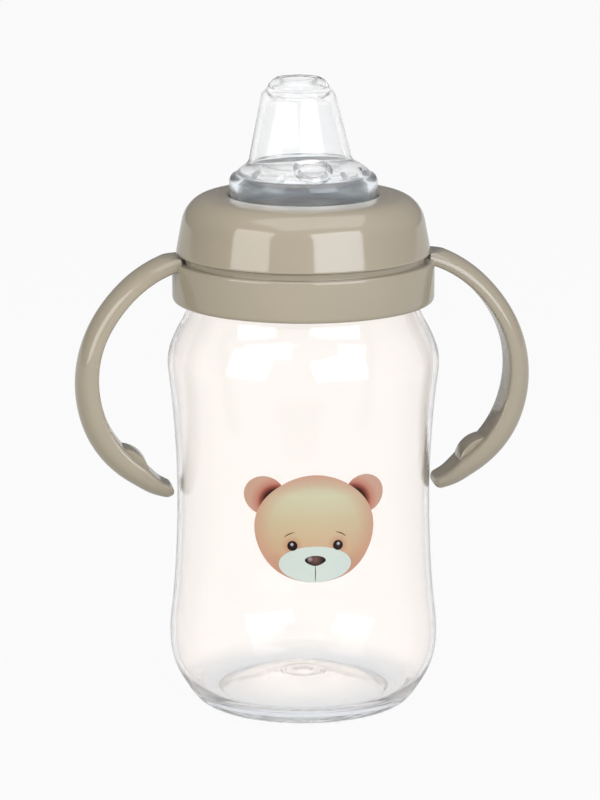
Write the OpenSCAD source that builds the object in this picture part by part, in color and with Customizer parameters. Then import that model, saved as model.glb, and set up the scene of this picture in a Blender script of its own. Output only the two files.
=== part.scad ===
// Training cup for a small child: a clear waisted bottle, a ring with two open
// handles held under a screw collar, and a soft spout clamped by the collar.
// The base is at z = 0, the handles lie along X and the front faces -Y.

/* [Bottle] */
// Largest radius of the bottle
body_r = 33.2; // [32.6:0.1:33.6]
// Radius of the waist that the hands go round
waist_r = 31.2; // [30.4:0.1:31.6]
// Thickness of the bottle's wall
wall = 1.25; // [1:0.05:1.5]
// Outer radius of the neck
neck_r = 24.4; // [24.2:0.1:24.6]
// Height of the neck's rim
neck_top = 123.6; // [123.4:0.1:123.7]
// Lead of the screw thread, the rise in one turn
lead = 5; // [4.6:0.1:5.4]

/* [Handles] */
// Outer radius of the handle ring
ring_r = 32.1; // [31.6:0.1:32.4]
// Radius of each handle's bend, at the middle of the strap
bend_r = 30.4; // [30:0.1:30.6]
// Thickness of the strap, on average
strap_t = 5.4; // [5:0.1:6]
// Depth of the strap, front to back
strap_w = 12; // [10:0.5:14]

/* [Collar] */
// Radius of the collar at its lower edge
collar_r = 31.05; // [30.8:0.05:31.4]
// Height of the collar's flat top
collar_top = 127.1; // [126.9:0.1:127.6]

/* [Spout] */
// Radius of the round wall that comes up through the collar
plug_r = 18.05; // [17.8:0.05:18.1]
// Half width of the spout at its foot
foot_half_w = 13.4; // [12.8:0.1:13.6]
// Half depth of the spout at its foot
foot_half_d = 9.9; // [9:0.1:10.4]
// Radius of the spout just under its tip
tip_r = 9.2; // [8.8:0.1:9.6]
// Height of the tip above the base
spout_top = 154.8; // [153:0.1:156]
// Turn of the spout about the cup's axis, from the handles
spout_turn = 3; // [0:1:12]

/* [Print] */
// Turn of the printed face about the cup's axis, from the handles
print_turn = -2.8; // [-10:0.1:10]

/* [Hidden] */
$fn = 96;

clear = "Gainsboro";
beige = [0.72, 0.68, 0.59];
milky = [0.80, 0.83, 0.86];
ink = [0.78, 0.64, 0.48];
running_gap = 0.08;
gap = 0.2;
far = 200;

// The bottle's outline as control points from the foot to the neck.
foot_r = 23.2;
ledge_z = 107;
ledge_r = 27.2;
locate_r = 25.8;
locate_top = 109;
body_points = [
    [foot_r, 0], [foot_r + 2.6, 0], [body_r - 4.2, 3.9], [body_r - 0.6, 10.4],
    [body_r + 0.2, 18], [waist_r + 0.9, 28], [waist_r + 0.1, 42], [waist_r - 0.1, 57],
    [waist_r + 0.6, 70], [body_r - 0.6, 79], [body_r + 0.5, 87], [body_r - 1.6, 92.8],
    [body_r - 4.6, 97.8], [ledge_r, 103]
];
// The base is pushed up in the middle, and stands on a ring round it.
floor_z = 2.6;
push_up = 4.4;
stand_r = 21.3;
neck_bore = neck_r - 1.8;

// Smooth curve along control points: arcs between the middles of the legs.
function middle(a, b) = (a + b) / 2;
function leg_start(p, i) = i == 1 ? p[0] : middle(p[i - 1], p[i]);
function leg_end(p, i) = i == len(p) - 2 ? p[len(p) - 1] : middle(p[i], p[i + 1]);
function bend(a, b, c, t) = (1 - t) * (1 - t) * a + 2 * t * (1 - t) * b + t * t * c;
function smooth(p, n = 6) = concat([p[0]], [
    for (i = [1 : len(p) - 2], k = [1 : n]) bend(leg_start(p, i), p[i], leg_end(p, i), k / n)
]);

function inset(p, d) = [for (q = p) [q.x - d, q.y]];
function backwards(p) = [for (i = [len(p) - 1 : -1 : 0]) p[i]];
function rounded(w, h, r, n = 4) = [
    for (q = [[1, 1, 0], [-1, 1, 90], [-1, -1, 180], [1, -1, 270]], k = [0 : n])
        [
            q.x * (w / 2 - r) + r * cos(q.z + k * 90 / n),
            q.y * (h / 2 - r) + r * sin(q.z + k * 90 / n)
        ]
];

// A ridge along a right-hand helix, tapering off at both ends.
// root and crest are radii, base and top are the ridge's widths there.
module thread(root, crest, base, top, start_z, turns) {
    steps = 30;
    count = ceil(turns * steps);
    fade = 4;
    function reach(k) = root + (crest - root) * max(0.06, min(1, k / fade, (count - k) / fade));
    function at(k, r, z) = [
        r * cos(k * 360 / steps), r * sin(k * 360 / steps), start_z + lead * k / steps + z
    ];
    points = [
        for (k = [0 : count])
            each [
                at(k, root, -base / 2), at(k, reach(k), -top / 2),
                at(k, reach(k), top / 2), at(k, root, base / 2)
            ]
    ];
    side = crest > root ? [0, 1, 2, 3] : [3, 2, 1, 0];
    sides = [
        for (k = [0 : count - 1], j = [0 : 3])
            let (a = 4 * k + side[j], b = 4 * k + side[(j + 1) % 4])
                each [[a, b, b + 4], [a, b + 4, a + 4]]
    ];
    first = [[side[2], side[1], side[0]], [side[3], side[2], side[0]]];
    last = [for (f = first) [for (i = [2 : -1 : 0]) f[i] + 4 * count]];
    polyhedron(points, concat(sides, first, last), convexity = 8);
}

module bottle() {
    outer = smooth(body_points);
    // Inside, the corner is raised a little, so the wall keeps its thickness round it.
    inner_points = [
        for (i = [0 : len(body_points) - 1])
            let (p = body_points[i]) [p.x - wall, max(p.y, floor_z) + (i == 1 || i == 2 ? 0.8 : 0)]
    ];
    color(clear, 0.5) {
        rotate_extrude()
            polygon(concat(
                smooth([[0, push_up + 0.9], [8, push_up + 0.9], [14, 3.5], [stand_r - 0.9, 0.9], [stand_r, 0]]),
                outer,
                [[ledge_r, ledge_z], [locate_r, ledge_z], [locate_r, locate_top], [neck_r, locate_top]],
                [[neck_r, neck_top - 0.5], [neck_r - 0.5, neck_top], [neck_bore, neck_top]],
                [[neck_bore, ledge_z + 1.5]],
                backwards(smooth(inner_points)),
                smooth([
                    [foot_r - wall - 0.5, floor_z], [19, floor_z + 0.4], [14.6, 5.2],
                    [8, floor_z + push_up], [0, floor_z + push_up]
                ])
            ));
        thread(neck_r - 0.3, neck_r + 1.1, 2, 1, 113, 1.5);
    }
}

// The printed face is a film of ink on the front of the waist.
print_w = 14.4;
print_low = 37.7;
print_high = 64.2;
ear_x = 12.1;
ear_z = 58.7;
ear_r = 4.8;
film = 0.15;
cheek = 0.12;

module face_outline() {
    middle_z = (print_low + print_high) / 2;
    half_h = (print_high - print_low) / 2;
    translate([0, middle_z])
        polygon([
            for (a = [0 : 10 : 350])
                [print_w * cos(a), half_h * sin(a) * (1 - cheek * pow(cos(a), 2) * sign(sin(a)))]
        ]);
    for (side = [-1, 1])
        translate([side * ear_x, ear_z])
            circle(ear_r);
}

module bear_print() {
    outer = [for (p = smooth(body_points)) if (p.y > print_low - 5 && p.y < print_high + 5) p];
    color(ink)
        rotate([0, 0, print_turn])
            intersection() {
                rotate_extrude()
                    polygon(concat(inset(outer, -0.02), backwards(inset(outer, -0.02 - film))));
                rotate([90, 0, 0])
                    linear_extrude(height = body_r + 2)
                        face_outline();
            }
}

// The ring hangs over the bottle's shoulder by a web that rests on the ledge.
// A lip inside its top edge closes the gap under the collar.
ring_low = 101.1;
ring_top = 111.2;
ring_wall = 1.9;
web_z = ledge_z + gap;
web_top = locate_top;
lip_r = ring_r - 1.7;
lip_t = 1.5;
bend_x = 23;
bend_z = 81.8;
root_angle = 76;
strap_end = -52;
// The strap is thicker at this angle and thinner on the far side by as much.
thick_angle = -30;
thick_shift = 0.65;
// The end of the strap is flat, with a rounded edge here.
tip_x = 34.3;
tip_z = 54.3;
end_r = 1.9;
stop_angle = -46;
stop_out = 1.9;
stop_r = 6.8;

module handle_ring() {
    color(beige) {
        rotate_extrude()
            polygon([
                [ring_r - ring_wall, ring_low], [ring_r - 0.9, ring_low], [ring_r - 0.2, ring_low + 0.4],
                [ring_r, ring_low + 1.1], [ring_r, ring_top - 0.5], [ring_r - 0.5, ring_top],
                [lip_r, ring_top], [lip_r, shell_low - gap], [lip_r - lip_t, shell_low - gap],
                [lip_r - lip_t, ring_top - 0.6], [ring_r - ring_wall, ring_top - 1.4],
                [ring_r - ring_wall, web_top], [locate_r + running_gap, web_top],
                [locate_r + running_gap, web_z], [ring_r - ring_wall, web_z]
            ]);
        for (side = [0, 1])
            mirror([side, 0, 0])
                handle();
    }
}

module on_bend() {
    translate([bend_x, 0, bend_z])
        rotate([90, 0, 0])
            children();
}

// A disc for the outside of the bend and a smaller one for the inside, set off
// from each other, so that the strap between them changes its thickness.
module outer_disc(r, half) {
    rotate_extrude()
        polygon([
            [0, -half], [r - 2.4, -half], [r - 0.9, -half + 0.8], [r, -half + 2.6],
            [r, half - 2.6], [r - 0.9, half - 0.8], [r - 2.4, half], [0, half]
        ]);
}

module inner_disc(r, half) {
    rotate_extrude()
        polygon([
            [0, -half - 1], [r + 2, -half - 1], [r + 1, -half], [r, -half + 1],
            [r, half - 1], [r + 1, half], [r + 2, half + 1], [0, half + 1]
        ]);
}

module handle() {
    shift = thick_shift / 2 * [cos(thick_angle), sin(thick_angle)];
    outer_bend = bend_r + strap_t / 2;
    inner_bend = bend_r - strap_t / 2;
    end = [tip_x - bend_x, tip_z - bend_z];
    end_out = outer_bend * [cos(strap_end), sin(strap_end)] + shift;
    end_in = inner_bend * [cos(strap_end), sin(strap_end)] - shift;
    difference() {
        union() {
            on_bend()
                intersection() {
                    difference() {
                        translate(shift)
                            outer_disc(outer_bend, strap_w / 2);
                        translate(-shift)
                            inner_disc(inner_bend, strap_w / 2);
                    }
                    linear_extrude(height = strap_w + 2, center = true)
                        polygon([
                            [0, 0], far * [cos(strap_end), sin(strap_end)], [far, 0],
                            far * [cos(root_angle), sin(root_angle)]
                        ]);
                }
            // The flat end of the strap.
            on_bend()
                linear_extrude(height = strap_w - 2, center = true) {
                    polygon([
                        end_in, end_out, end + [5.9, -0.6], end + [2, -end_r + 0.1],
                        end - [0, end_r], end + [0, end_r], end + [4, end_r + 0.9]
                    ]);
                    translate(end)
                        circle(end_r);
                }
            // The stop that keeps a finger from sliding off.
            on_bend()
                linear_extrude(height = strap_w - 4, center = true)
                    intersection() {
                        rotate([0, 0, stop_angle])
                            translate([bend_r + stop_out, 0])
                                circle(stop_r);
                        circle(bend_r);
                    }
        }
        cylinder(r = ring_r - 0.9, h = far);
        // The root ends just under the collar.
        translate([0, 0, shell_low - 0.4])
            cylinder(r = far, h = far);
    }
}

// The collar has an outer shell and a threaded skirt inside it.
skirt_bore = neck_r + 1.6;
skirt_t = 1.6;
shell_t = 1.8;
shell_low = 112.9;
slot_top = 119.2;
skirt_low = web_top + gap;
lid_t = 2;
hole_r = plug_r + 0.3;

module collar() {
    lid_z = collar_top - lid_t;
    shell = smooth([
        [collar_r, shell_low + 0.4], [collar_r - 0.15, shell_low + 1.4], [collar_r - 0.95, 118.6],
        [collar_r - 1.8, 122.9], [collar_r - 4.45, collar_top - 1.1], [collar_r - 7.85, collar_top],
        [hole_r + 0.5, collar_top]
    ]);
    color(beige) {
        rotate_extrude()
            polygon(concat(
                [[collar_r - shell_t, shell_low], [collar_r - 0.4, shell_low]],
                shell,
                [[hole_r, collar_top - 0.5], [hole_r, lid_z], [skirt_bore, lid_z], [skirt_bore, skirt_low]],
                [[skirt_bore + skirt_t, skirt_low], [skirt_bore + skirt_t, slot_top]],
                [[collar_r - shell_t - 1.4, slot_top], [collar_r - shell_t - 0.5, slot_top - 2.4]]
            ));
        thread(skirt_bore + 0.3, skirt_bore - 1.15, 2, 1, 113 + lead * 0.5, 1.4);
    }
}

// The spout is one soft moulding: a flange under the collar, a round plug, a dome
// with a vent and grip dots, and a flattened cone with a slit in its closed tip.
flange_r = neck_r - 0.4;
flange_z = neck_top + gap;
plug_top = 132;
dome_h = 5;
spout_y = 3.5;
tip_y = 6.3;
knee_z = spout_top - 4.2;
spout_wall = 1.7;
shell = 2.1;
ceiling_z = knee_z - 0.6;
membrane_z = knee_z + 1.4;
slit_w = 0.3;
slit_l = 7;
vent_r = 4.65;
vent_y = -11.8;
vent_tilt = 21;

function dome_z(r) = plug_top + 0.5 + dome_h * (1 - pow(r / plug_r, 2));

module cone(inset_by, low, high) {
    hull() {
        translate([0, spout_y, low])
            linear_extrude(height = 0.01)
                resize([2 * (foot_half_w - inset_by), 2 * (foot_half_d - inset_by)])
                    circle(10, $fn = 32);
        translate([0, tip_y, high])
            cylinder(r = tip_r - 0.2 - inset_by, h = 0.01, $fn = 32);
    }
}

module tip() {
    translate([0, tip_y, 0])
        rotate_extrude()
            polygon([
                [0, knee_z - 0.2], [tip_r, knee_z - 0.2], [tip_r, knee_z], [tip_r - 1.2, knee_z + 0.9],
                [tip_r - 2.2, knee_z + 2.9], [tip_r - 2.8, knee_z + 3.5], [tip_r - 4.4, spout_top],
                [0, spout_top]
            ]);
}

module plug() {
    rotate_extrude()
        polygon(concat(
            [[0, flange_z], [flange_r, flange_z], [flange_r, collar_top - lid_t - gap]],
            [[plug_r, collar_top - lid_t - gap], [plug_r, plug_top]],
            [for (i = [0 : 6]) let (r = (plug_r - 0.5) * (1 - i / 6)) [r, dome_z(r)]]
        ));
}

// The hollow under the dome, which the collar and the neck leave open to the bottle.
module under_dome() {
    inner_r = plug_r - shell;
    edge = dome_z(inner_r - 1.2) - shell;
    rotate_extrude()
        polygon(concat(
            [[0, flange_z - 1], [inner_r, flange_z - 1], [inner_r, edge - 1.2]],
            [for (i = [0 : 5]) let (r = (inner_r - 1.2) * (1 - i / 5)) [r, dome_z(r) - shell]]
        ));
}

module dish() {
    translate([0, tip_y, 0])
        rotate_extrude()
            polygon([
                [0, membrane_z], [tip_r - 2.7, membrane_z], [tip_r - 2.8, membrane_z + 0.6],
                [tip_r - 3.5, membrane_z + 1.9], [tip_r - 4.5, membrane_z + 2.6],
                [tip_r - 4.5, spout_top + 1], [0, spout_top + 1]
            ]);
}

module vent_place() {
    translate([0, vent_y, dome_z(-vent_y)])
        rotate([vent_tilt, 0, 0])
            children();
}

module spout() {
    dot_ring = 15.4;
    color(milky)
        rotate([0, 0, spout_turn])
            difference() {
                union() {
                    plug();
                    cone(0, plug_top, knee_z);
                    tip();
                    for (a = [-60, -30, 30, 60])
                        rotate([0, 0, a])
                            translate([0, -dot_ring, dome_z(dot_ring) - 0.3])
                                sphere(1.2, $fn = 24);
                }
                // Drink passes up through the plug and the cone to the slit.
                under_dome();
                cone(spout_wall, plug_top - 1.5, ceiling_z);
                translate([0, tip_y, knee_z])
                    cube([slit_w, slit_l, 5], center = true);
                dish();
                vent_place()
                    difference() {
                        translate([0, 0, -1.4])
                            cylinder(r = vent_r, h = 8);
                        translate([0, 0, -3])
                            cylinder(r = vent_r - 1.3, h = 2.7);
                    }
            }
}

bottle();
bear_print();
handle_ring();
collar();
spout();
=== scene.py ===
import math

import bmesh
import bpy
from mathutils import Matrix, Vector


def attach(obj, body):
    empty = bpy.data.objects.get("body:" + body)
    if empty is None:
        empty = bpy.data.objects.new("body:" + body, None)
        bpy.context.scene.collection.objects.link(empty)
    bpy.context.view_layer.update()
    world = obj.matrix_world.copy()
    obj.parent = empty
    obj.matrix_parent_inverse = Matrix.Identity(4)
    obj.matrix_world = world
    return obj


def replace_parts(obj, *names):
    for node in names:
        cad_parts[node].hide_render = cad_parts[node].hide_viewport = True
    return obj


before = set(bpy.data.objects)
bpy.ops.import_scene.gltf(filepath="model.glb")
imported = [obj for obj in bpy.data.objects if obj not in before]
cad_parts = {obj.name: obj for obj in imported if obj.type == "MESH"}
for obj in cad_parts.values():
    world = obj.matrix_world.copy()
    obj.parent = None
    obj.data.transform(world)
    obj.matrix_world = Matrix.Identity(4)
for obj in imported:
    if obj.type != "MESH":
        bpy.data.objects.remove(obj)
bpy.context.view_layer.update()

# A training cup for a small child. Lengths below are millimetres, and mm turns them into metres.
# The base stands at z = 0, the handles lie along x and the printed face looks along -y.
mm = 0.001


class Wire:
    # wraps a node's output, so that shader maths reads as a plain expression
    def __init__(self, shade, socket):
        self.shade = shade
        self.socket = socket

    def maths(self, operation, *values):
        return self.shade.node("ShaderNodeMath", {"operation": operation}, dict(enumerate(values)))

    def __add__(self, other):
        return self.maths("ADD", self, other)

    def __radd__(self, other):
        return self.maths("ADD", other, self)

    def __sub__(self, other):
        return self.maths("SUBTRACT", self, other)

    def __rsub__(self, other):
        return self.maths("SUBTRACT", other, self)

    def __mul__(self, other):
        return self.maths("MULTIPLY", self, other)

    def __rmul__(self, other):
        return self.maths("MULTIPLY", other, self)

    def __truediv__(self, other):
        return self.maths("DIVIDE", self, other)

    def __rtruediv__(self, other):
        return self.maths("DIVIDE", other, self)

    def root(self):
        return self.maths("SQRT", self)

    def size(self):
        return self.maths("ABSOLUTE", self)

    def clipped(self):
        return self.maths("MINIMUM", self.maths("MAXIMUM", self, 0.0), 1.0)


class Shade:
    # one material and the few ways this file adds nodes to it
    def __init__(self, name):
        self.material = bpy.data.materials.new(name)
        self.material.use_nodes = True
        self.tree = self.material.node_tree
        self.tree.nodes.clear()

    def node(self, kind, settings=None, inputs=None, output=0):
        made = self.tree.nodes.new(kind)
        for key, value in (settings or {}).items():
            if key == "stops":
                fillRamp(made.color_ramp, value)
            else:
                setattr(made, key, value)
        for key, value in (inputs or {}).items():
            if isinstance(value, Wire):
                self.tree.links.new(value.socket, made.inputs[key])
            else:
                made.inputs[key].default_value = value
        return Wire(self, made.outputs[output])

    def mix(self, factor, first, second, blend="MIX"):
        settings = {"data_type": "RGBA", "blend_type": blend}
        return self.node("ShaderNodeMix", settings, {0: factor, 6: first, 7: second}, 2)

    def place(self):
        # position on the piece in millimetres, and its three numbers
        spot = self.node("ShaderNodeTexCoord", None, None, "Object")
        spot = self.node("ShaderNodeVectorMath", {"operation": "SCALE"}, {0: spot, "Scale": 1 / mm})
        axes = [self.node("ShaderNodeSeparateXYZ", None, {0: spot}, axis) for axis in "XYZ"]
        return spot, *axes

    def noise(self, spot, grain, detail=3.0, roughness=0.5):
        # grain is the size of one blotch in millimetres
        inputs = {"Vector": spot, "Scale": 1 / grain, "Detail": detail, "Roughness": roughness}
        return self.node("ShaderNodeTexNoise", None, inputs, "Fac")

    def ramp(self, factor, stops):
        return self.node("ShaderNodeValToRGB", {"stops": stops}, {0: factor})

    def bump(self, height, strength, distance):
        inputs = {"Strength": strength, "Distance": distance * mm, "Height": height}
        return self.node("ShaderNodeBump", None, inputs)

    def finish(self, surface):
        end = self.tree.nodes.new("ShaderNodeOutputMaterial")
        self.tree.links.new(surface.socket, end.inputs["Surface"])
        return self.material

    def principled(self, inputs):
        return self.node("ShaderNodeBsdfPrincipled", None, inputs)


def fillRamp(colorRamp, stops):
    while len(colorRamp.elements) < len(stops):
        colorRamp.elements.new(0.5)
    for element, (position, color) in zip(colorRamp.elements, stops):
        element.position = position
        element.color = color


def linear(red, green, blue):
    # a screen colour, 0 to 255, as the linear colour a shader wants
    parts = [c / 255 for c in (red, green, blue)]
    return (*[c / 12.92 if c < 0.0405 else ((c + 0.055) / 1.055) ** 2.4 for c in parts], 1.0)


def mixed(a, b, t):
    return tuple(p + (q - p) * t for p, q in zip(a, b))


def middle(a, b):
    return mixed(a, b, 0.5)


def bent(a, b, c, t):
    # a point on the arc from a to c, where b pulls the arc towards itself
    return tuple((1 - t) ** 2 * p + 2 * t * (1 - t) * q + t * t * r for p, q, r in zip(a, b, c))


def roundAngles(count):
    return [2 * math.pi * k / count for k in range(count)]


def curveThrough(points, steps=8):
    # arcs between the middles of the legs, from the first point to the last
    curve = [points[0]]
    for i in range(1, len(points) - 1):
        start = points[0] if i == 1 else middle(points[i - 1], points[i])
        end = points[-1] if i == len(points) - 2 else middle(points[i], points[i + 1])
        curve += [bent(start, points[i], end, k / steps) for k in range(1, steps + 1)]
    return curve


def eased(points, radius, steps=4, closed=True):
    # every corner of an outline turned into a small arc; radius is one number or one for each corner
    radii = radius if isinstance(radius, (list, tuple)) else [radius] * len(points)
    rounded = []
    count = len(points)
    for i, (point, size) in enumerate(zip(points, radii)):
        if size == 0 or (not closed and i in (0, count - 1)):
            rounded.append(point)
            continue
        before, after = Vector(points[i - 1]), Vector(points[(i + 1) % count])
        corner = Vector(point)
        reach = [min(size, (other - corner).length * 0.45) for other in (before, after)]
        start = corner + (before - corner).normalized() * reach[0]
        end = corner + (after - corner).normalized() * reach[1]
        for k in range(steps + 1):
            t = k / steps
            rounded.append(tuple((1 - t) ** 2 * start + 2 * t * (1 - t) * corner + t * t * end))
    return rounded


def filled(points, longest):
    # extra points, so that no leg is longer than that
    dense = []
    for a, b in zip(points, points[1:]):
        pieces = max(1, math.ceil(math.dist(a, b) / longest))
        dense += [tuple(p + (q - p) * k / pieces for p, q in zip(a, b)) for k in range(pieces)]
    return dense + [points[-1]]


def heading(path, i):
    # the way that a path of (x, z, ...) points runs at one of them
    before, after = path[max(0, i - 1)], path[min(len(path) - 1, i + 1)]
    return Vector((after[0] - before[0], after[1] - before[1])).normalized()


def skin(loops, joined=False, capped=False):
    # quads between loops with the same count of points; a loop of one point is a pole
    points = []
    starts = []
    for loop in loops:
        starts.append(len(points))
        points += loop
    faces = []
    pairs = list(zip(range(len(loops)), range(1, len(loops))))
    if joined:
        pairs.append((len(loops) - 1, 0))
    for one, two in pairs:
        count = max(len(loops[one]), len(loops[two]))
        for k in range(count):
            n = (k + 1) % count
            if len(loops[one]) == 1:
                faces.append((starts[one], starts[two] + k, starts[two] + n))
            elif len(loops[two]) == 1:
                faces.append((starts[one] + n, starts[one] + k, starts[two]))
            else:
                faces.append((starts[one] + n, starts[one] + k, starts[two] + k, starts[two] + n))
    if capped:
        for start, loop in ((starts[0], loops[0]), (starts[-1], loops[-1])):
            faces.append(tuple(start + k for k in range(len(loop))))
    return points, faces


def makePiece(name, points, faces, material, sharpAngle=38):
    mesh = bpy.data.meshes.new(name)
    mesh.from_pydata([tuple(c * mm for c in p) for p in points], [], faces)
    tidyMesh(mesh, sharpAngle)
    mesh.materials.append(material)
    piece = bpy.data.objects.new(name, mesh)
    bpy.context.scene.collection.objects.link(piece)
    return piece


def tidyMesh(mesh, sharpAngle):
    work = bmesh.new()
    work.from_mesh(mesh)
    bmesh.ops.remove_doubles(work, verts=work.verts, dist=0.002 * mm)
    bmesh.ops.recalc_face_normals(work, faces=work.faces)
    if work.calc_volume(signed=True) < 0:
        bmesh.ops.reverse_faces(work, faces=work.faces)
    work.to_mesh(mesh)
    work.free()
    mesh.shade_smooth()
    mesh.set_sharp_from_angle(angle=math.radians(sharpAngle))


def spun(outline, steps, shift=None):
    # loops of an outline of (radius, height) points turned about the z axis
    loops = []
    for r, z in outline:
        if r < 0.001:
            loops.append([(0, 0, z)])
            continue
        loop = []
        for angle in roundAngles(steps):
            reach = r + (shift(r, z, angle) if shift else 0)
            loop.append((reach * math.cos(angle), reach * math.sin(angle), z))
        loops.append(loop)
    return loops


def threadRise(z, angle, lead, startZ, turns, height, halfBase=1.0, halfTop=0.5, fade=0.1):
    # how far a helical ridge stands out at this angle and height
    rise = 0
    for turn in range(3):
        along = angle / (2 * math.pi) + turn
        if along <= turns:
            off = abs(z - startZ - lead * along)
            side = min(1, max(0, (halfBase - off) / (halfBase - halfTop)))
            end = min(1, along / fade, (turns - along) / fade)
            rise = max(rise, height * side * side * (3 - 2 * side) * max(0, end))
    return rise


def smoothStep(low, high, value):
    t = min(1, max(0, (value - low) / (high - low)))
    return t * t * (3 - 2 * t)


def combine(base, others, operation):
    # one closed skin: a closed solid with the others joined on or cut away
    for other in others:
        step = base.modifiers.new("combine", "BOOLEAN")
        step.operation = operation
        step.solver = "EXACT"
        step.object = other
    bpy.context.view_layer.update()
    mesh = bpy.data.meshes.new_from_object(base.evaluated_get(bpy.context.evaluated_depsgraph_get()))
    base.modifiers.clear()
    base.data = mesh
    for other in others:
        bpy.data.objects.remove(other)
    return base


def settle(piece, body, slot, *nodes):
    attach(piece, body)
    if nodes:
        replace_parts(piece, *nodes)
    return piece


camera = {
    "distance": 930, "height": 283,     # from the cup's axis, and above its base
    "azimuth": -8.1, "pitch": 12.57, "aside": 0.05,
    "lens": 174.0, "sensor": 36, "farthest": 50,
}


def makeCamera():
    data = bpy.data.cameras.new("camera")
    data.lens = camera["lens"]
    data.sensor_width = camera["sensor"]
    data.clip_end = camera["farthest"]
    seat = bpy.data.objects.new("camera", data)
    turn = math.radians(camera["azimuth"])
    seat.location = (
        camera["distance"] * math.sin(turn) * mm,
        -camera["distance"] * math.cos(turn) * mm,
        camera["height"] * mm,
    )
    seat.rotation_euler = (
        math.radians(90 - camera["pitch"]), 0, math.radians(camera["azimuth"] + camera["aside"])
    )
    bpy.context.scene.collection.objects.link(seat)
    bpy.context.scene.camera = seat


stage = {
    "paper": linear(250, 250, 250),
    "beyond": (1.08, 1.07, 1.06, 1.0),      # the same backdrop seen through clear plastic
    "floorAlbedo": (0.82, 0.82, 0.82, 1.0),
    "floorGlow": 0.98,                   # share of the floor's look that is even light, not lit floor
    "floorLight": 0.965, "floorThrough": 1.02, "floorBounce": 0.70,
    "dim": (0.20, 0.20, 0.215, 1.0),     # the dark room that gloss and shading see
    "floorHalf": 6000, "floorZ": -0.2,
}

softboxes = [
    # azimuth from the camera's side, elevation, width and height of the box in metres, brightness
    {"name": "softbox_left", "azimuth": -49.5, "elevation": 18.5, "width": 0.66, "height": 0.64,
     "glow": 4.3, "tint": (1.0, 0.985, 0.965)},
    {"name": "softbox_right", "azimuth": 33.0, "elevation": 18.5, "width": 0.84, "height": 0.64,
     "glow": 5.5, "tint": (0.985, 1.0, 1.09)},
    {"name": "softbox_above", "azimuth": 24.0, "elevation": 76.0, "width": 1.3, "height": 0.9,
     "glow": 1.9, "tint": (0.985, 1.0, 1.07)},
]
softboxAim = {"distance": 1.0, "height": 0.075}      # metres


def makeSeen(shade):
    # 1 where the eye sees a thing straight or through clear plastic, 0 for its gloss and its light
    straight = shade.node("ShaderNodeLightPath", None, None, "Is Camera Ray")
    through = shade.node("ShaderNodeLightPath", None, None, "Is Transmission Ray")
    return (straight + through).clipped()


def makeStage():
    shade = Shade("paper_floor")
    lit = shade.node("ShaderNodeBsdfDiffuse", None, {"Color": stage["floorAlbedo"]})
    through = shade.node("ShaderNodeLightPath", None, None, "Is Transmission Ray")
    bright = stage["floorBounce"] + (stage["floorLight"] - stage["floorBounce"]) * makeSeen(shade)
    bright = bright + (stage["floorThrough"] - stage["floorLight"]) * through
    even = shade.node("ShaderNodeEmission", None, {"Strength": bright})
    shade.finish(shade.node("ShaderNodeMixShader", None, {0: stage["floorGlow"], 1: lit, 2: even}))
    half, z = stage["floorHalf"], stage["floorZ"]
    corners = [(-half, -half, z), (half, -half, z), (half, half, z), (-half, half, z)]
    floor = makePiece("floor", corners, [(0, 1, 2, 3)], shade.material)

    world = bpy.data.worlds.new("room")
    bpy.context.scene.world = world
    world.use_nodes = True
    tree = world.node_tree
    tree.nodes.clear()
    shade.tree = tree                    # from here the same helper adds nodes to the world
    through = shade.node("ShaderNodeLightPath", None, None, "Is Transmission Ray")
    paper = shade.mix(through, stage["paper"], stage["beyond"])
    color = shade.mix(makeSeen(shade), stage["dim"], paper)
    background = shade.node("ShaderNodeBackground", None, {"Color": color, "Strength": 1.0})
    end = tree.nodes.new("ShaderNodeOutputWorld")
    tree.links.new(background.socket, end.inputs["Surface"])


def makeLights():
    for box in softboxes:
        data = bpy.data.lights.new(box["name"], "AREA")
        data.shape = "RECTANGLE"
        data.size = box["width"]
        data.size_y = box["height"]
        data.energy = box["glow"] * math.pi * box["width"] * box["height"]
        data.color = box["tint"]
        lamp = bpy.data.objects.new(box["name"], data)
        turn = math.radians(camera["azimuth"] + box["azimuth"])
        lift = math.radians(box["elevation"])
        flat = math.cos(lift)
        away = Vector((math.sin(turn) * flat, -math.cos(turn) * flat, math.sin(lift)))
        lamp.location = away * softboxAim["distance"] + Vector((0, 0, softboxAim["height"]))
        lamp.rotation_euler = away.to_track_quat("Z", "Y").to_euler()
        lamp.visible_camera = False
        bpy.context.scene.collection.objects.link(lamp)


makeCamera()
makeStage()
makeLights()
bpy.context.scene.view_settings.view_transform = "Standard"
cycles = bpy.context.scene.cycles        # light bounces many times inside clear walls
cycles.max_bounces = 32
cycles.glossy_bounces = 24
cycles.transmission_bounces = 32
print("camera, floor and lights are in place")


def paintedEdgeShade(shade, color, edge, stops):
    # painted shade: the clear material's colour is made darker where it is seen edge on, standing in
    # for the dark outlines along its rims
    facing = shade.node("ShaderNodeLayerWeight", None, {"Blend": 0.5}, "Facing")
    share = shade.ramp(facing, [(at, (part, part, part, 1.0)) for at, part in stops])
    return shade.mix(share, color, edge)


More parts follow.
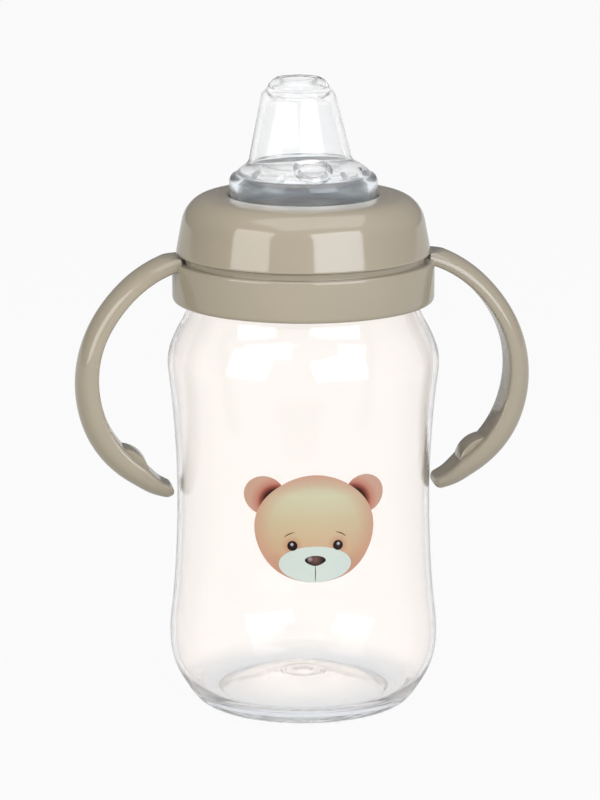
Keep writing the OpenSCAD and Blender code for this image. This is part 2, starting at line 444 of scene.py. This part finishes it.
def clearPlastic():
    # clear moulded plastic with a very slight haze and moulding waves
    look = {
        # foot is a darker grey-blue painted over the lowest footTop millimetres: painted shade for the
        # thick base
        "tint": (1.0, 0.972, 0.948, 1.0), "foot": (0.66, 0.71, 0.76, 1.0), "footTop": 6.5,
        # edge is a painted shade colour, used where the plastic is seen edge on
        "edge": (0.10, 0.11, 0.14, 1.0),
        "edgeShadeStops": [(0.30, 0.0), (0.66, 0.08), (0.80, 0.16), (0.87, 0.45), (0.94, 0.95)],
        "ior": 1.34, "gloss": 0.10, "low": 0.03, "high": 0.07, "clear": 0.97,
    }
    shade = Shade("clear_plastic")
    spot, _, _, z = shade.place()
    haze = shade.noise(spot, 14.0)
    waves = shade.noise(spot, 9.0, 1.0)
    rough = look["low"] + (look["high"] - look["low"]) * haze
    # painted shade: the colour fades to the darker foot colour towards the bottom
    low = (1 - z / look["footTop"]).clipped()
    tint = shade.mix(low, look["tint"], look["foot"])
    return shade.finish(shade.principled({
        "Base Color": paintedEdgeShade(shade, tint, look["edge"], look["edgeShadeStops"]),
        "Roughness": rough, "IOR": look["ior"], "Specular IOR Level": look["gloss"],
        "Transmission Weight": look["clear"], "Normal": shade.bump(waves, 0.06, 0.2),
    }))


def softSilicone():
    # soft clear silicone with a fine satin haze, bluer where it is thick round the plug
    look = {
        "thin": (0.935, 0.94, 0.94, 1.0), "thick": (0.90, 0.955, 1.0, 1.0), "from": 130.5, "to": 133.0,
        # edge is a painted shade colour, used where the silicone is seen edge on
        "edge": (0.58, 0.62, 0.66, 1.0),
        "edgeShadeStops": [(0.7, 0.0), (0.86, 0.05), (0.94, 0.2), (1.0, 0.3)],
        "ior": 1.34, "gloss": 0.35, "low": 0.05, "high": 0.12, "clear": 0.95,
    }
    shade = Shade("soft_silicone")
    spot, _, _, z = shade.place()
    haze = shade.noise(spot, 5.0)
    waves = shade.noise(spot, 3.5, 1.0)
    above = ((z - look["from"]) / (look["to"] - look["from"])).clipped()
    tint = shade.mix(above, look["thick"], look["thin"])
    rough = look["low"] + (look["high"] - look["low"]) * haze
    return shade.finish(shade.principled({
        "Base Color": paintedEdgeShade(shade, tint, look["edge"], look["edgeShadeStops"]),
        "Roughness": rough, "IOR": look["ior"], "Specular IOR Level": look["gloss"],
        "Transmission Weight": look["clear"], "Normal": shade.bump(waves, 0.12, 0.12),
    }))


def beigePlastic():
    # glossy moulded plastic: faint mottling in the colour, a trace of ripple in the gloss
    look = {
        "color": linear(146, 137, 118), "pale": linear(152, 143, 124), "ior": 1.5,
        "low": 0.07, "high": 0.13,
    }
    shade = Shade("beige_plastic")
    spot, *_ = shade.place()
    mottle = shade.noise(spot, 12.0, 4.0)
    grain = shade.noise(spot, 0.35, 2.0)
    ripple = shade.noise(spot, 2.4, 2.0)
    color = shade.mix(mottle, look["color"], look["pale"])
    rough = look["low"] + (look["high"] - look["low"]) * shade.noise(spot, 6.0)
    return shade.finish(shade.principled({
        "Base Color": color, "Roughness": rough, "IOR": look["ior"],
        "Normal": shade.bump(ripple + grain * 0.15, 0.10, 0.08),
    }))


clearPlasticLook = clearPlastic()
softSiliconeLook = softSilicone()
beigePlasticLook = beigePlastic()
print("materials are made")


bottle = {
    "body": [
        (23.2, 0), (25.8, 0), (29.0, 3.9), (32.6, 10.4), (33.4, 18), (32.1, 28), (31.3, 42), (31.1, 57),
        (31.8, 70), (32.6, 79), (33.7, 87), (31.6, 92.8), (28.6, 97.8), (27.2, 103),
    ],
    "wall": 1.25, "floorZ": 2.6, "footExtra": 0.8,
    # marks moulded in the middle of the base: a radius, and a height above the pushed-up face
    "button": [(0, 0.4), (1.6, 0.4), (2.0, 0), (3.4, 0)],
    "moat": [(4.3, -0.02), (4.6, 0.35), (5.3, 0.35), (5.6, -0.06)], "moatEnd": 6,
    # the pushed-up base from its middle to the standing ring, and the floor above it
    "under": [(3.4, 5.3), (8, 5.3), (14, 3.5), (20.4, 0.9), (21.3, 0)],
    "floor": [(21.45, 2.6), (19, 3.0), (14.6, 5.2), (8, 7.0), (0, 7.0)],
    "ledgeR": 27.2, "ledgeZ": 107, "locateR": 25.8, "locateTop": 109,
    "neckR": 24.4, "neckTop": 123.6, "neckBore": 22.6,
    "lead": 5, "threadZ": 113, "threadTurns": 1.5, "threadHeight": 1.1,
    "steps": 192,
}
bodyCurve = curveThrough(bottle["body"], 10)


def bodyRadius(z):
    # outer radius of the bottle's body at a height
    for (r0, z0), (r1, z1) in zip(bodyCurve, bodyCurve[1:]):
        if z0 <= z <= z1 and z1 > z0:
            return r0 + (r1 - r0) * (z - z0) / (z1 - z0)
    return bodyCurve[-1][0]


def makeBottle():
    b = bottle
    high = b["under"][0][1]
    below = eased([(x, high + up) for x, up in b["button"]], 0.3, 3, closed=False)
    below += [(x, high + up) for x, up in b["moat"]]
    below += [p for p in curveThrough(b["under"], 8) if p[0] > b["moatEnd"]]
    neckLow, boreLow = b["locateTop"] + 1.5, b["neckTop"] - 4
    shoulder = eased([
        bodyCurve[-1], (b["ledgeR"], b["ledgeZ"]), (b["locateR"], b["ledgeZ"]),
        (b["locateR"], b["locateTop"]), (b["neckR"], b["locateTop"]), (b["neckR"], neckLow),
    ], 0.35, 4, closed=False)
    neck = filled([(b["neckR"], neckLow), (b["neckR"], b["neckTop"] - 1)], 0.28)
    rim = eased([
        neck[-1], (b["neckR"], b["neckTop"]), (b["neckBore"], b["neckTop"]), (b["neckBore"], boreLow),
    ], 0.6, 5, closed=False)
    inner = [(x - b["wall"], max(z, b["floorZ"]) + (b["footExtra"] if i in (1, 2) else 0))
             for i, (x, z) in enumerate(b["body"])]
    inner = curveThrough(inner, 10)
    throat = eased([inner[-1], (b["neckBore"], b["ledgeZ"] + 1.5), (b["neckBore"], boreLow)],
                   1.2, 5, closed=False)
    inside = [*reversed(throat), *reversed(inner[:-1]), *curveThrough(b["floor"], 8)]
    outline = below + bodyCurve + shoulder[1:] + neck[1:] + rim[1:] + inside[1:]

    def ridge(r, z, angle):
        if abs(r - b["neckR"]) > 0.01 or z < b["locateTop"] + 1:
            return 0
        return threadRise(z, angle, b["lead"], b["threadZ"], b["threadTurns"], b["threadHeight"])

    points, faces = skin(spun(outline, b["steps"], ridge))
    piece = makePiece("bottle_shell", points, faces, clearPlasticLook)
    return settle(piece, "bottle_body", "clear_plastic", "bottle")


makeBottle()
print("bottle is made")


ring = {
    "radius": 32.1, "wall": 1.9, "low": 101.1, "top": 111.2,
    "webZ": 107.2, "webTop": 109, "hole": 25.88,
    "lipR": 29.8, "lipT": 0.9, "lipTop": 112.7,
    "steps": 192,
}
handle = {
    "bendX": 23, "bendZ": 81.8,
    # angle round the bend, then the strap's radius, thickness and depth there
    "bend": [(82, 31.0, 4.3, 12), (70, 30.9, 4.4, 12), (56, 30.6, 4.6, 12), (38, 30.2, 4.8, 12),
             (15, 30.5, 5.1, 12), (-10, 30.5, 6.0, 12), (-34, 30.4, 6.3, 12), (-52, 29.5, 5.7, 11.8)],
    # from there to the tip: x, z, thickness and depth
    "tip": [(38.5, 56.35, 4.9, 11.2), (36.2, 54.95, 4.1, 10.4), (34.3, 54.3, 3.7, 9.8)],
    "rootTop": 112.5,
    "stopAngle": -46, "stopOut": 32.3, "stopR": 7.0, "stopFoot": 30.4, "stopDeep": 8.0, "stopSunk": 1.5,
}


def sectionOf(thick, deep, count=36):
    # a D: flat towards the bottle with eased corners, round on the outside; (outward, depth)
    shape = []
    a, b = thick / 2, deep / 2
    for angle in roundAngles(count):
        c, s = math.cos(angle), math.sin(angle)
        power = 2.1 if c > 0 else 6.0
        waist = -0.35 * a
        out = waist + (a - waist if c > 0 else a + waist) * math.copysign(abs(c) ** (2 / power), c)
        side = b * math.copysign(abs(s) ** (2 / power), s)
        shape.append((out, side))
    return shape


def makeStrap(side):
    h = handle
    stations = []
    for angle, radius, thick, deep in curveThrough(h["bend"], 10):
        angle = math.radians(angle)
        stations.append((h["bendX"] + radius * math.cos(angle), h["bendZ"] + radius * math.sin(angle),
                         thick, deep))
    stations += curveThrough([stations[-1], *h["tip"]], 8)[1:]
    loops = []
    for i, (x, z, thick, deep) in enumerate(stations):
        along = heading(stations, i)
        outward = Vector((-along.y, along.x))
        loops.append([(side * (x + outward.x * out), y, z + outward.y * out)
                      for out, y in sectionOf(thick, deep)])
    # the end is rounded over
    x, z, thick, deep = stations[-1]
    reach = thick / 2
    for k in range(1, 7):
        lean = math.radians(15 * k)
        shrink = max(0.02, math.cos(lean))
        push = reach * math.sin(lean)
        loops.append([(side * (x + along.x * push + outward.x * out * shrink),
                       y * (1 - (1 - shrink) * reach / (deep / 2)),
                       z + along.y * push + outward.y * out * shrink)
                      for out, y in sectionOf(thick, deep)])
    points, faces = skin(loops, capped=True)
    return makePiece("strap", points, faces, beigePlasticLook)


def makeStop(side):
    # part of a disc on the inner face that keeps a finger from sliding off
    h = handle
    chord = h["stopFoot"] - h["stopSunk"]
    spread = math.acos((h["stopOut"] - chord) / h["stopR"])
    arc = [math.pi + spread * (k / 24 - 1) for k in range(49)]
    segment = [(h["stopOut"] + h["stopR"] * math.cos(a), h["stopR"] * math.sin(a)) for a in arc]
    centre = ((h["stopOut"] - h["stopR"] + chord) / 2 + 0.8, 0)
    lean = math.radians(h["stopAngle"])
    half = h["stopDeep"] / 2
    loops = []
    for shrink, y in ((0.92, -half), (0.975, -half + 0.12), (1, -half + 0.5),
                      (1, half - 0.5), (0.975, half - 0.12), (0.92, half)):
        loop = []
        for out, across in segment:
            out, across = centre[0] + (out - centre[0]) * shrink, across * shrink
            x = h["bendX"] + out * math.cos(lean) - across * math.sin(lean)
            z = h["bendZ"] + out * math.sin(lean) + across * math.cos(lean)
            loop.append((side * x, y, z))
        loops.append(loop)
    points, faces = skin(loops, capped=True)
    return makePiece("stop", points, faces, beigePlasticLook)


def makeRing():
    r = ring
    inner, lipIn = r["radius"] - r["wall"], r["lipR"] - r["lipT"]
    outline = eased([
        (inner, r["low"]), (r["radius"], r["low"]), (r["radius"], r["top"]), (r["lipR"], r["top"]),
        (r["lipR"], r["lipTop"]), (lipIn, r["lipTop"]), (lipIn, r["top"] - 0.6),
        (inner, r["top"] - 1.4), (inner, r["webTop"]), (r["hole"], r["webTop"]), (r["hole"], r["webZ"]),
        (inner, r["webZ"]),
    ], [0.4, 1.3, 0.6, 0.15, 0.2, 0.2, 0.3, 0.3, 0.2, 0.2, 0.2, 0.4], 5)
    points, faces = skin(spun(outline, r["steps"]), joined=True)
    return makePiece("handle_ring_shell", points, faces, beigePlasticLook)


def trimInside(piece, radius, top):
    # cuts the straps away inside the ring's wall and above the collar's lower edge
    low, high, far = 40, 140, 80         # well past the straps
    points, faces = skin(spun([(0, low), (radius, low), (radius, high), (0, high)], ring["steps"]))
    bore = makePiece("bore", points, faces, beigePlasticLook)
    points, faces = skin([[(-far, -far, z), (far, -far, z), (far, far, z), (-far, far, z)]
                          for z in (top, high)], capped=True)
    lid = makePiece("lid", points, faces, beigePlasticLook)
    combine(piece, [bore, lid], "DIFFERENCE")


def makeHandles():
    parts = []
    for side in (-1, 1):
        strap = makeStrap(side)
        trimInside(strap, ring["radius"] - 1.0, handle["rootTop"])
        parts += [strap, makeStop(side)]
    body = combine(makeRing(), parts, "UNION")
    tidyMesh(body.data, 32)
    return settle(body, "handles", "beige_plastic", "handle_ring")


makeHandles()
print("ring and handles are made")


collar = {
    "shell": [(31.05, 113.3), (30.9, 114.3), (30.1, 118.6), (29.25, 122.9), (26.6, 126.0),
              (23.2, 127.1), (18.85, 127.1)],
    "low": 112.9, "lidZ": 125.1, "holeR": 18.35,
    "shellT": 1.8, "slotTop": 119.2,
    "skirtBore": 26.0, "skirtT": 1.6, "skirtLow": 109.2,
    "lead": 5, "threadZ": 115.5, "threadTurns": 1.4, "threadHeight": 1.15,
    "steps": 192,
}


def makeCollar():
    c = collar
    outerR, skirtR = c["shell"][0][0], c["skirtBore"] + c["skirtT"]
    shell = curveThrough(c["shell"], 8)
    foot = eased([(outerR - c["shellT"], c["low"]), (outerR, c["low"]), shell[0]], 0.3, 3, closed=False)
    bore = filled([(c["skirtBore"], c["lidZ"]), (c["skirtBore"], c["skirtLow"] + 0.4)], 0.35)
    inside = [
        (c["holeR"], c["shell"][-1][1] - 0.4), (c["holeR"], c["lidZ"]), *bore,
        (c["skirtBore"] + 0.4, c["skirtLow"]), (skirtR - 0.3, c["skirtLow"]),
        (skirtR, c["skirtLow"] + 0.3), (skirtR, c["slotTop"]),
        (outerR - c["shellT"] - 1.4, c["slotTop"]), (outerR - c["shellT"] - 0.5, c["slotTop"] - 2.4),
    ]
    outline = foot + shell[1:] + inside

    def ridge(r, z, angle):
        if abs(r - c["skirtBore"]) > 0.01:
            return 0
        return -threadRise(z, angle, c["lead"], c["threadZ"], c["threadTurns"], c["threadHeight"])

    points, faces = skin(spun(outline, c["steps"], ridge), joined=True)
    piece = makePiece("collar_shell", points, faces, beigePlasticLook)
    return settle(piece, "collar_body", "beige_plastic", "collar")


makeCollar()
print("collar is made")


spout = {
    "turn": 3,
    "flangeR": 24.0, "flangeZ": 123.8, "flangeTop": 124.9,
    "plugR": 18.05, "plugTop": 131.4, "domeZ": 132.5, "domeH": 5.0, "shoulder": 1.3,
    "easeR": 12.5, "easeDrop": 1.0,
    "shell": 2.1,                        # thickness of the plug's wall and of the dome
    "footW": 13.4, "footD": 9.9, "footY": 3.5, "footZ": 132,
    "tipY": 6.3, "kneeZ": 150.6, "kneeR": 9.1,
    "tip": [(9.1, 150.6), (8.7, 151.2), (7.9, 151.9), (7.2, 153.3), (6.3, 154.4), (5.2, 154.8),
            (4.9, 154.8)],
    "dish": [(6.5, 152.0), (6.4, 152.6), (5.7, 153.9), (4.7, 154.5), (4.6, 154.75)],
    "dishRim": (4.75, 154.8),
    "wall": 1.7, "corner": 1.2, "ceiling": 150.2, "membrane": 152.0,
    "filletUp": 0.055, "filletOut": 0.9,      # as a share of the cone's height, and along the dome
    "slitW": 0.3, "slitL": 7.0,
    "ventY": -11.8, "ventTilt": 21, "ventR": 4.65, "bossR": 3.35, "grooveDeep": 1.4, "bossDrop": 0.3,
    "dotR": 1.25, "dotRing": 15.4, "dotAngles": (-60, -30, 30, 60), "dotSink": 0.45,
    "columns": 288,
}


# angles from the front, packed closer there where the vent is
spoutAngles = [a - 0.6 * math.sin(a) for a in roundAngles(spout["columns"])]


def domeHeight(x, y):
    s = spout
    r = math.hypot(x, y)
    edge = max(0, (r - s["easeR"]) / (s["plugR"] - s["shoulder"] - s["easeR"]))
    return s["domeZ"] + s["domeH"] * (1 - (r / s["plugR"]) ** 2) - s["easeDrop"] * edge * edge


def domeDetail(x, y):
    # the vent's groove and boss, and the grip dots
    s = spout
    off = math.hypot(x, (y - s["ventY"]) / math.cos(math.radians(s["ventTilt"])))
    inGroove = smoothStep(s["ventR"] + 0.2, s["ventR"] - 0.25, off)
    onBoss = smoothStep(s["bossR"] + 0.25, s["bossR"] - 0.25, off)
    change = -s["grooveDeep"] * inGroove + (s["grooveDeep"] - s["bossDrop"]) * onBoss
    for angle in s["dotAngles"]:
        turn = math.radians(angle)
        away = math.hypot(x - s["dotRing"] * math.sin(turn), y + s["dotRing"] * math.cos(turn))
        if away < s["dotR"]:
            change += max(0, math.sqrt(s["dotR"] ** 2 - away * away) - s["dotSink"])
    return change


def conePoint(angle, t, inset=0):
    # on the flattened cone, from its foot at t = 0 to the knee at t = 1
    s = spout
    wide = (s["footW"] - inset) * (1 - t) + (s["kneeR"] - inset) * t
    deep = (s["footD"] - inset) * (1 - t) + (s["kneeR"] - inset) * t
    return (wide * math.sin(angle), s["footY"] + (s["tipY"] - s["footY"]) * t - deep * math.cos(angle),
            s["footZ"] + (s["kneeZ"] - s["footZ"]) * t)


def coneMeets(angle, drop, inset):
    # how far up the cone the dome's surface, lowered by drop, meets it
    low, high = -0.2, 0.6
    for _ in range(30):
        t = (low + high) / 2
        x, y, z = conePoint(angle, t, inset)
        if z < domeHeight(x, y) - drop:
            low = t
        else:
            high = t
    return (low + high) / 2


def ringAt(r, z, y=0.0):
    return [(r * math.sin(a), y - r * math.cos(a), z) for a in spoutAngles]


def slitAt(z, scale=1.0):
    wide, long = spout["slitW"] / 2 * scale, spout["slitL"] / 2 * scale
    return [(wide * math.sin(a), spout["tipY"] - long * math.cos(a), z) for a in spoutAngles]


def blended(one, two, steps, first=0):
    # loops on the way from one loop to another
    return [[mixed(a, b, k / steps) for a, b in zip(one, two)] for k in range(first, steps)]


def spoutInside():
    # up the inside of the plug, in under the dome, and up the cone's cavity to the slit
    s = spout
    innerR = s["plugR"] - s["shell"]
    innerZ = domeHeight(innerR - s["corner"], 0) - s["shell"]
    wallTop = ringAt(innerR, innerZ - s["corner"])
    loops = blended(ringAt(innerR, s["flangeZ"] + 0.3), wallTop, 5)
    loops += [wallTop, ringAt(innerR - 0.15, innerZ - 0.6), ringAt(innerR - 0.5, innerZ - 0.2)]
    meets = [coneMeets(a, s["shell"], s["wall"]) for a in spoutAngles]
    mouth = [conePoint(a, t, s["wall"]) for a, t in zip(spoutAngles, meets)]
    for loop in blended(ringAt(innerR - s["corner"], innerZ), mouth, 10):
        loops.append([(x, y, domeHeight(x, y) - s["shell"]) for x, y, _ in loop])
    topT = (s["ceiling"] - s["corner"] - s["footZ"]) / (s["kneeZ"] - s["footZ"])
    rows = 14
    for k in range(1, rows + 1):
        loops.append([conePoint(a, t + (topT - t) * k / rows, s["wall"])
                      for a, t in zip(spoutAngles, meets)])
    ceilingR = s["kneeR"] - s["wall"]
    ceiling = ringAt(ceilingR - 0.9, s["ceiling"], s["tipY"])
    loops += [ringAt(ceilingR - 0.05, s["ceiling"] - 0.7, s["tipY"]),
              ringAt(ceilingR - 0.35, s["ceiling"] - 0.25, s["tipY"]), ceiling]
    return loops + blended(ceiling, slitAt(s["ceiling"]), 6, 1)


def spoutTip():
    # through the slit, out over the membrane, up the dish and over the rim to the knee
    s = spout
    low, high = s["ceiling"], s["membrane"]
    loops = [slitAt(low), slitAt(low + 0.1), slitAt(high - 0.1), slitAt(high, 1.02)]
    floorEdge = s["dish"][0][0] - 0.6
    loops += blended(slitAt(high), ringAt(floorEdge, high, s["tipY"]), 5, 1)
    dish = eased([(floorEdge, high), s["dish"][0], s["dish"][1]], [0, 0.5, 0], 4, closed=False)
    dish += curveThrough(s["dish"][1:], 4)[1:] + [s["dishRim"]]
    loops += [ringAt(r, z, s["tipY"]) for r, z in dish]
    return loops + [ringAt(r, z, s["tipY"]) for r, z in reversed(curveThrough(s["tip"], 6)[:-1])]


def spoutDome(feet, edgeR):
    # from beside the cone's foot out over the dome
    rows = 84
    loops = []
    for k in range(rows + 1):
        loop = []
        for a, foot in zip(spoutAngles, feet):
            x, y, _ = conePoint(a, foot)
            run = math.hypot(x - edgeR * math.sin(a), y + edgeR * math.cos(a))
            near = spout["filletOut"] / run
            t = min(1, near + (1 - near) * k / rows)
            x, y, _ = mixed((x, y, 0), (edgeR * math.sin(a), -edgeR * math.cos(a), 0), t)
            loop.append((x, y, domeHeight(x, y) + domeDetail(x, y)))
        loops.append(loop)
    return loops


def spoutOutside():
    # down the cone, over a fillet and the dome, down the plug's wall and round the flange
    s = spout
    feet = [coneMeets(a, 0, 0) for a in spoutAngles]
    rows = 22
    loops = []
    for k in range(1, rows + 1):
        loops.append([conePoint(a, 1 + (foot + s["filletUp"] - 1) * k / rows)
                      for a, foot in zip(spoutAngles, feet)])
    edgeR = s["plugR"] - s["shoulder"]
    dome = spoutDome(feet, edgeR)
    above = loops[-1]
    for k in range(1, 5):
        loops.append([bent(high, conePoint(a, foot), low, k / 5)
                      for a, foot, high, low in zip(spoutAngles, feet, above, dome[0])])
    loops += dome
    edgeZ = domeHeight(edgeR, 0)
    innerR = s["plugR"] - s["shell"]
    shoulder = curveThrough([
        (edgeR, edgeZ), (s["plugR"] - 0.15, edgeZ - 0.35), (s["plugR"], s["plugTop"] - 0.9),
    ], 7)
    flange = eased([
        shoulder[-1], (s["plugR"], s["flangeTop"]), (s["flangeR"], s["flangeTop"]),
        (s["flangeR"], s["flangeZ"]), (innerR, s["flangeZ"]), (innerR, s["flangeZ"] + 0.3),
    ], [0, 0.5, 0.35, 0.35, 0.2, 0], 4, closed=False)
    loops += [ringAt(r, z) for r, z in shoulder[1:]]
    return loops + [ringAt(r, z) for r, z in filled(flange, 1.2)[1:-1]]


def makeSpout():
    turn = math.radians(spout["turn"])
    c, s = math.cos(turn), math.sin(turn)
    loops = [[(x * c - y * s, x * s + y * c, z) for x, y, z in loop]
             for loop in spoutInside() + spoutTip() + spoutOutside()]
    points, faces = skin(loops, joined=True)
    piece = makePiece("spout_soft", points, faces, softSiliconeLook, 50)
    return settle(piece, "spout_body", "silicone", "spout")


makeSpout()
print("spout is made")


face = {
    "turn": -2.8,
    "halfW": 14.4, "low": 37.7, "high": 64.2, "cheek": 0.12,
    "ear": (12.0, 58.85, 4.8), "earShade": (8.9, 57.2, 6.5),
    "muzzle": (8.75, 37.72, 46.5),
    "nose": (0, 43.1, 5.1, 2.7),
    "eye": (5.5, 46.7, 1.2), "blush": 2.6,
    "brow": [(7.4, 48.8), (6.5, 49.75), (5.0, 50.0)],
    "mouthMid": (0.02, 40.0),
    "layer": 0.03, "filmLow": 0.02, "filmHigh": 0.045,
    "bright": 0.715,
}


def ink(red, green, blue):
    # a printed colour, a little dimmed because the film is seen in strong light
    return (*[face["bright"] * part for part in linear(red, green, blue)[:3]], 1.0)


def inkShade(name, paint):
    shade = Shade(name)
    spot, x, _, z = shade.place()
    fibre = shade.noise(spot, 0.45, 3.0)
    color = paint(shade, x, z, spot)
    color = shade.mix(fibre * 0.10, color, (1.0, 1.0, 1.0, 1.0), "SOFT_LIGHT")
    rough = 0.32 + 0.12 * fibre
    return shade.finish(shade.principled({
        "Base Color": color, "Roughness": rough, "IOR": 1.3, "Normal": shade.bump(fibre, 0.1, 0.02),
    }))


def away(x, z, cx, cz):
    return ((x - cx) * (x - cx) + (z - cz) * (z - cz)).root()


def paintHead(shade, x, z, spot):
    mid, half = (face["low"] + face["high"]) / 2, (face["high"] - face["low"]) / 2
    up = (z - face["low"]) / (2 * half)
    color = shade.ramp(up, [
        (0.0, ink(160, 96, 76)), (0.28, ink(200, 166, 130)), (0.55, ink(200, 182, 144)),
        (0.8, ink(202, 198, 164)), (1.0, ink(192, 166, 144)),
    ])
    off = ((x / face["halfW"]) * (x / face["halfW"]) + ((z - mid) / half) * ((z - mid) / half)).root()
    rim = ((off - 0.72) / 0.28).clipped()
    color = shade.mix(rim * 0.75, color, ink(200, 150, 124))
    cx, cz, _ = face["eye"]
    for side in (-1, 1):
        blush = (1 - away(x, z, side * cx, cz) / face["blush"]).clipped()
        color = shade.mix(blush * 0.8, color, ink(180, 110, 84))
    return color


def paintEar(shade, x, z, spot):
    cx, cz, reach = face["earShade"]
    return shade.ramp(away(x.size(), z, cx, cz) / reach, [
        (0.0, ink(34, 10, 2)), (0.51, ink(48, 16, 4)), (0.63, ink(140, 70, 54)),
        (0.76, ink(192, 128, 108)), (1.0, ink(200, 160, 136)),
    ])


def paintMuzzle(shade, x, z, spot):
    return shade.mix(shade.noise(spot, 3.0), ink(198, 213, 200), ink(208, 214, 204))


def paintNose(shade, x, z, spot):
    off = away(x, z, 0, face["nose"][1] + 0.25) / 2.3
    color = shade.ramp(off, [
        (0.0, ink(112, 82, 76)), (0.4, ink(86, 58, 52)), (0.8, ink(34, 16, 12)),
        (1.0, ink(20, 10, 6)),
    ])
    shine = (1 - away(x, z, -1.3, face["nose"][1] + 0.35) / 0.8).clipped()
    return shade.mix(shine * 0.8, color, ink(190, 165, 160))


def paintEye(shade, x, z, spot):
    cx, cz, r = face["eye"]
    color = shade.ramp(away(x.size(), z, cx, cz - 0.1) / r, [
        (0.0, ink(54, 26, 26)), (0.5, ink(26, 8, 8)), (1.0, ink(14, 4, 2)),
    ])
    spark = (1 - away(x.size(), z, cx + 0.1, cz + 0.35) / 0.5).clipped()
    return shade.mix(spark, color, ink(225, 215, 215))


def paintLine(shade, x, z, spot):
    return shade.mix(shade.noise(spot, 1.0), ink(70, 52, 34), ink(88, 68, 48))


def printOn(name, points, faces, paint):
    # the whole print is turned a little from the handles' plane
    piece = makePiece(name, points, faces, paint)
    piece.rotation_euler.z = math.radians(face["turn"])
    return settle(piece, "bottle_body", "print_ink")


def onBottle(x, z, lift):
    # a point this far off the bottle's front
    return (x, -math.sqrt((bodyRadius(z) + lift) ** 2 - x * x), z)


def filmSides(layer):
    # how far a film's two sides stand off the bottle
    return [layer * face["layer"] + face[side] for side in ("filmLow", "filmHigh")]


def layPatch(name, outline, paint, layer, centre):
    # a thin film of ink on the bottle's front, from a star-shaped outline about its centre
    rings = 7
    sides = []
    for lift in filmSides(layer):
        loops = [[onBottle(*centre, lift)]]
        for k in range(1, rings + 1):
            loops.append([onBottle(*mixed(centre, point, k / rings), lift) for point in outline])
        sides.append(loops)
    points, faces = skin(sides[0] + list(reversed(sides[1])))
    return printOn(name, points, faces, paint)


def roundOutline(cx, cz, rx, rz, count=48):
    return [(cx + rx * math.cos(a), cz + rz * math.sin(a)) for a in roundAngles(count)]


def strokeOutline(points, width):
    # a tapering brush stroke along a curve
    curve = curveThrough(points, 6)
    left, right = [], []
    for i, (x, z) in enumerate(curve):
        along = heading(curve, i)
        half = width / 2 * (0.35 + 0.65 * math.sin(math.pi * i / (len(curve) - 1)))
        left.append((x - along.y * half, z + along.x * half))
        right.append((x + along.y * half, z - along.x * half))
    return left, right


def layStroke(name, points, width, paint, layer):
    left, right = strokeOutline(points, width)
    loops = []
    low, high = filmSides(layer)
    for a, b in zip(left, right):
        loops.append([onBottle(*a, low), onBottle(*a, high), onBottle(*b, high), onBottle(*b, low)])
    points, faces = skin(loops, capped=True)
    return printOn(name, points, faces, paint)


def makeFace():
    f = face
    mid, half = (f["low"] + f["high"]) / 2, (f["high"] - f["low"]) / 2
    head = []
    for a in roundAngles(96):
        squeeze = 1 - f["cheek"] * math.cos(a) ** 2 * math.copysign(1, math.sin(a)) * abs(math.sin(a))
        head.append((f["halfW"] * math.cos(a), mid + half * math.sin(a) * squeeze))
    headInk = inkShade("head_ink", paintHead)
    earInk = inkShade("ear_ink", paintEar)
    eyeInk = inkShade("eye_ink", paintEye)
    lineInk = inkShade("line_ink", paintLine)
    ex, ez, er = f["ear"]
    for side, word in ((-1, "left"), (1, "right")):
        layPatch("ear_" + word, roundOutline(side * ex, ez, er, er), earInk, 0, (side * ex, ez))
    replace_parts(layPatch("bear_head", head, headInk, 1, (0, mid)), "bear_print")
    mw, mLow, mHigh = f["muzzle"]
    mMid = (mLow + mHigh) / 2
    muzzle = []
    edge = [p for p in head if p[1] < mid]      # the muzzle's lower edge is the head's own
    for a in roundAngles(64):
        x = mw * math.cos(a)
        z = mMid + (mHigh - mMid) * math.sin(a)
        near = min(edge, key=lambda p: abs(p[0] - x))
        muzzle.append((x, max(z, near[1])))
    layPatch("muzzle", muzzle, inkShade("muzzle_ink", paintMuzzle), 2, (0, mMid + 1))
    nx, nz, nw, nh = f["nose"]
    nose = []
    for a in roundAngles(40):
        drop = math.sin(a)
        width = nw / 2 * (1 - 0.35 * max(0, -drop) ** 1.5)
        nose.append((nx + width * math.cos(a), nz + nh / 2 * drop * (1.0 if drop < 0 else 0.85)))
    layPatch("nose", nose, inkShade("nose_ink", paintNose), 3, (nx, nz))
    cx, cz, cr = f["eye"]
    for side, word in ((-1, "left"), (1, "right")):
        eye = roundOutline(side * cx, cz, cr, cr * 1.02, 32)
        layPatch("eye_" + word, eye, eyeInk, 3, (side * cx, cz))
        layStroke("brow_" + word, [(side * x, z) for x, z in f["brow"]], 0.22, lineInk, 3)
    layStroke("mouth", [(0, nz - 1.2), f["mouthMid"], (0, f["low"] + 0.15)], 0.2, lineInk, 3)


makeFace()
print("printed face is made")
